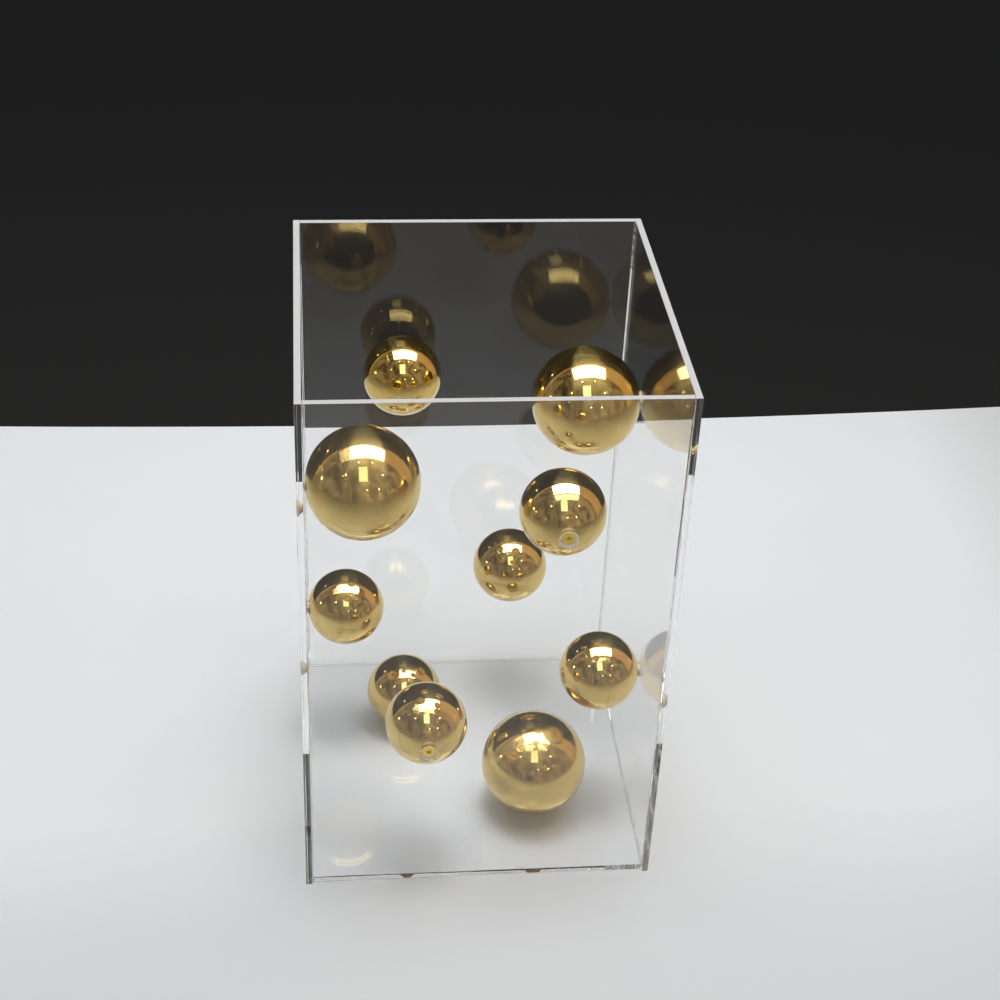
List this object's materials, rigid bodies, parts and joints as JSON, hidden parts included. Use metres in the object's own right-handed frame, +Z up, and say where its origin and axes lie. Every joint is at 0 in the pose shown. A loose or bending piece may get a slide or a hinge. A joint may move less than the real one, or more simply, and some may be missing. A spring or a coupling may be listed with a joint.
{
  "type": "display box",
  "caption": "Tall square open-topped clear acrylic display box with hollow gold balls screwed to its walls and base from outside.",
  "frame": {"origin": "middle of the underside, on the surface the box stands on", "axes": "+X across the front to the viewer's right, +Y from the front panel to the back panel, +Z up to the open rim"},
  "size_m": [0.26, 0.26, 0.423],
  "materials": {
    "clear_acrylic": "polished",
    "polished_gold": "polished",
    "yellow_zinc": "satin",
    "plain_steel": "satin"
  },
  "bodies": {
    "root": {"left_panel": "clear_acrylic", "right_panel": "clear_acrylic", "front_panel": "clear_acrylic", "back_panel": "clear_acrylic", "base_panel": "clear_acrylic", "ball_left_upper": "polished_gold", "boss_left_upper": "plain_steel", "screw_left_upper": "yellow_zinc", "ball_left_lower": "polished_gold", "boss_left_lower": "plain_steel", "screw_left_lower": "yellow_zinc", "ball_right_upper": "polished_gold", "boss_right_upper": "plain_steel", "screw_right_upper": "yellow_zinc", "ball_right_lower": "polished_gold", "boss_right_lower": "plain_steel", "screw_right_lower": "yellow_zinc", "ball_front_upper": "polished_gold", "boss_front_upper": "plain_steel", "screw_front_upper": "yellow_zinc", "ball_front_lower": "polished_gold", "boss_front_lower": "plain_steel", "screw_front_lower": "yellow_zinc", "ball_back_upper": "polished_gold", "boss_back_upper": "plain_steel", "screw_back_upper": "yellow_zinc", "ball_back_lower": "polished_gold", "boss_back_lower": "plain_steel", "screw_back_lower": "yellow_zinc", "ball_base_front": "polished_gold", "boss_base_front": "plain_steel", "screw_base_front": "yellow_zinc", "ball_base_rear": "polished_gold", "boss_base_rear": "plain_steel", "screw_base_rear": "yellow_zinc"}
  },
  "joints": []
}
